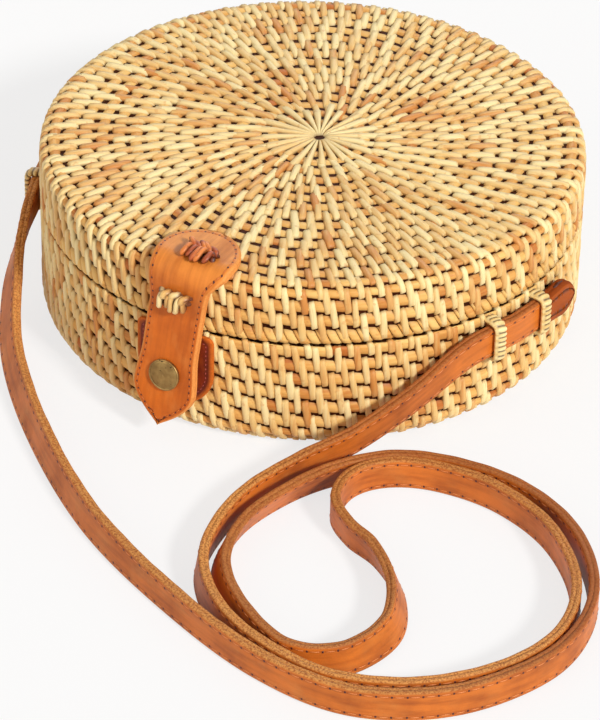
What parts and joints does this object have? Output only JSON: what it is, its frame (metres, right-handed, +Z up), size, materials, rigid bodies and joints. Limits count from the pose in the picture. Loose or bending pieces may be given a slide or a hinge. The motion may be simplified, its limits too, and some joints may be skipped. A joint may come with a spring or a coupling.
{
  "type": "circle bag",
  "caption": "Round rattan shoulder bag of coiled basketry, lying flat: hinged lid, leather tab with a snap, four wrapped loops and a long stitched leather strap.",
  "frame": {"origin": "middle of the bag's flat underside, on the surface it lies on", "axes": "X to the right and Y to the back, seen from the closure's side; Z up, along the middle line of the round bag; the closure faces -Y and the hinge loops face +Y"},
  "size_m": [0.287, 0.3252, 0.0783],
  "materials": {
    "rattan": "smoked rattan cane, satin, pale cream to orange",
    "rattan_pale": "pale rattan cane, satin",
    "rattan_deep": "dark smoked rattan, satin",
    "leather": "smooth tan leather with pale raw edges and stitching",
    "brass": "aged brass, brushed",
    "lining": "plain cotton"
  },
  "bodies": {
    "base": {"base_basket": "rattan", "base_rim": "rattan", "locating_hoop": "rattan_deep", "base_lining": "lining", "clasp_patch": "leather", "snap_stud": "brass", "snap_post": "brass", "hinge_loop_left": "rattan", "hinge_loop_right": "rattan", "strap_loop_front_left": "rattan", "strap_loop_rear_left": "rattan", "strap_loop_front_right": "rattan", "strap_loop_rear_right": "rattan", "shoulder_strap": "leather", "strap_end_left": "leather", "strap_end_right": "leather"},
    "lid": {"lid_basket": "rattan", "lid_star": "rattan_pale", "lid_rim": "rattan", "lid_lining": "lining", "tab_back": "leather", "tab_face": "leather", "upper_knot": "rattan_deep", "lower_knot": "rattan_pale"},
    "flap": {"flap_back": "leather", "flap_face": "leather", "snap_cap": "brass", "snap_socket": "brass"}
  },
  "joints": [
    {"name": "lid_hinge", "type": "hinge", "parent": "base", "child": "lid", "pos_m": [0, 0.1015, 0.0463], "axis": [-1, 0, 0], "range_deg": [0, 110]},
    {"name": "flap_bend", "type": "hinge", "parent": "lid", "child": "flap", "pos_m": [-0.00084, -0.10295, 0.05363], "axis": [-0.9976, 0.0109, 0.0689], "range_deg": [0, 80]}
  ]
}
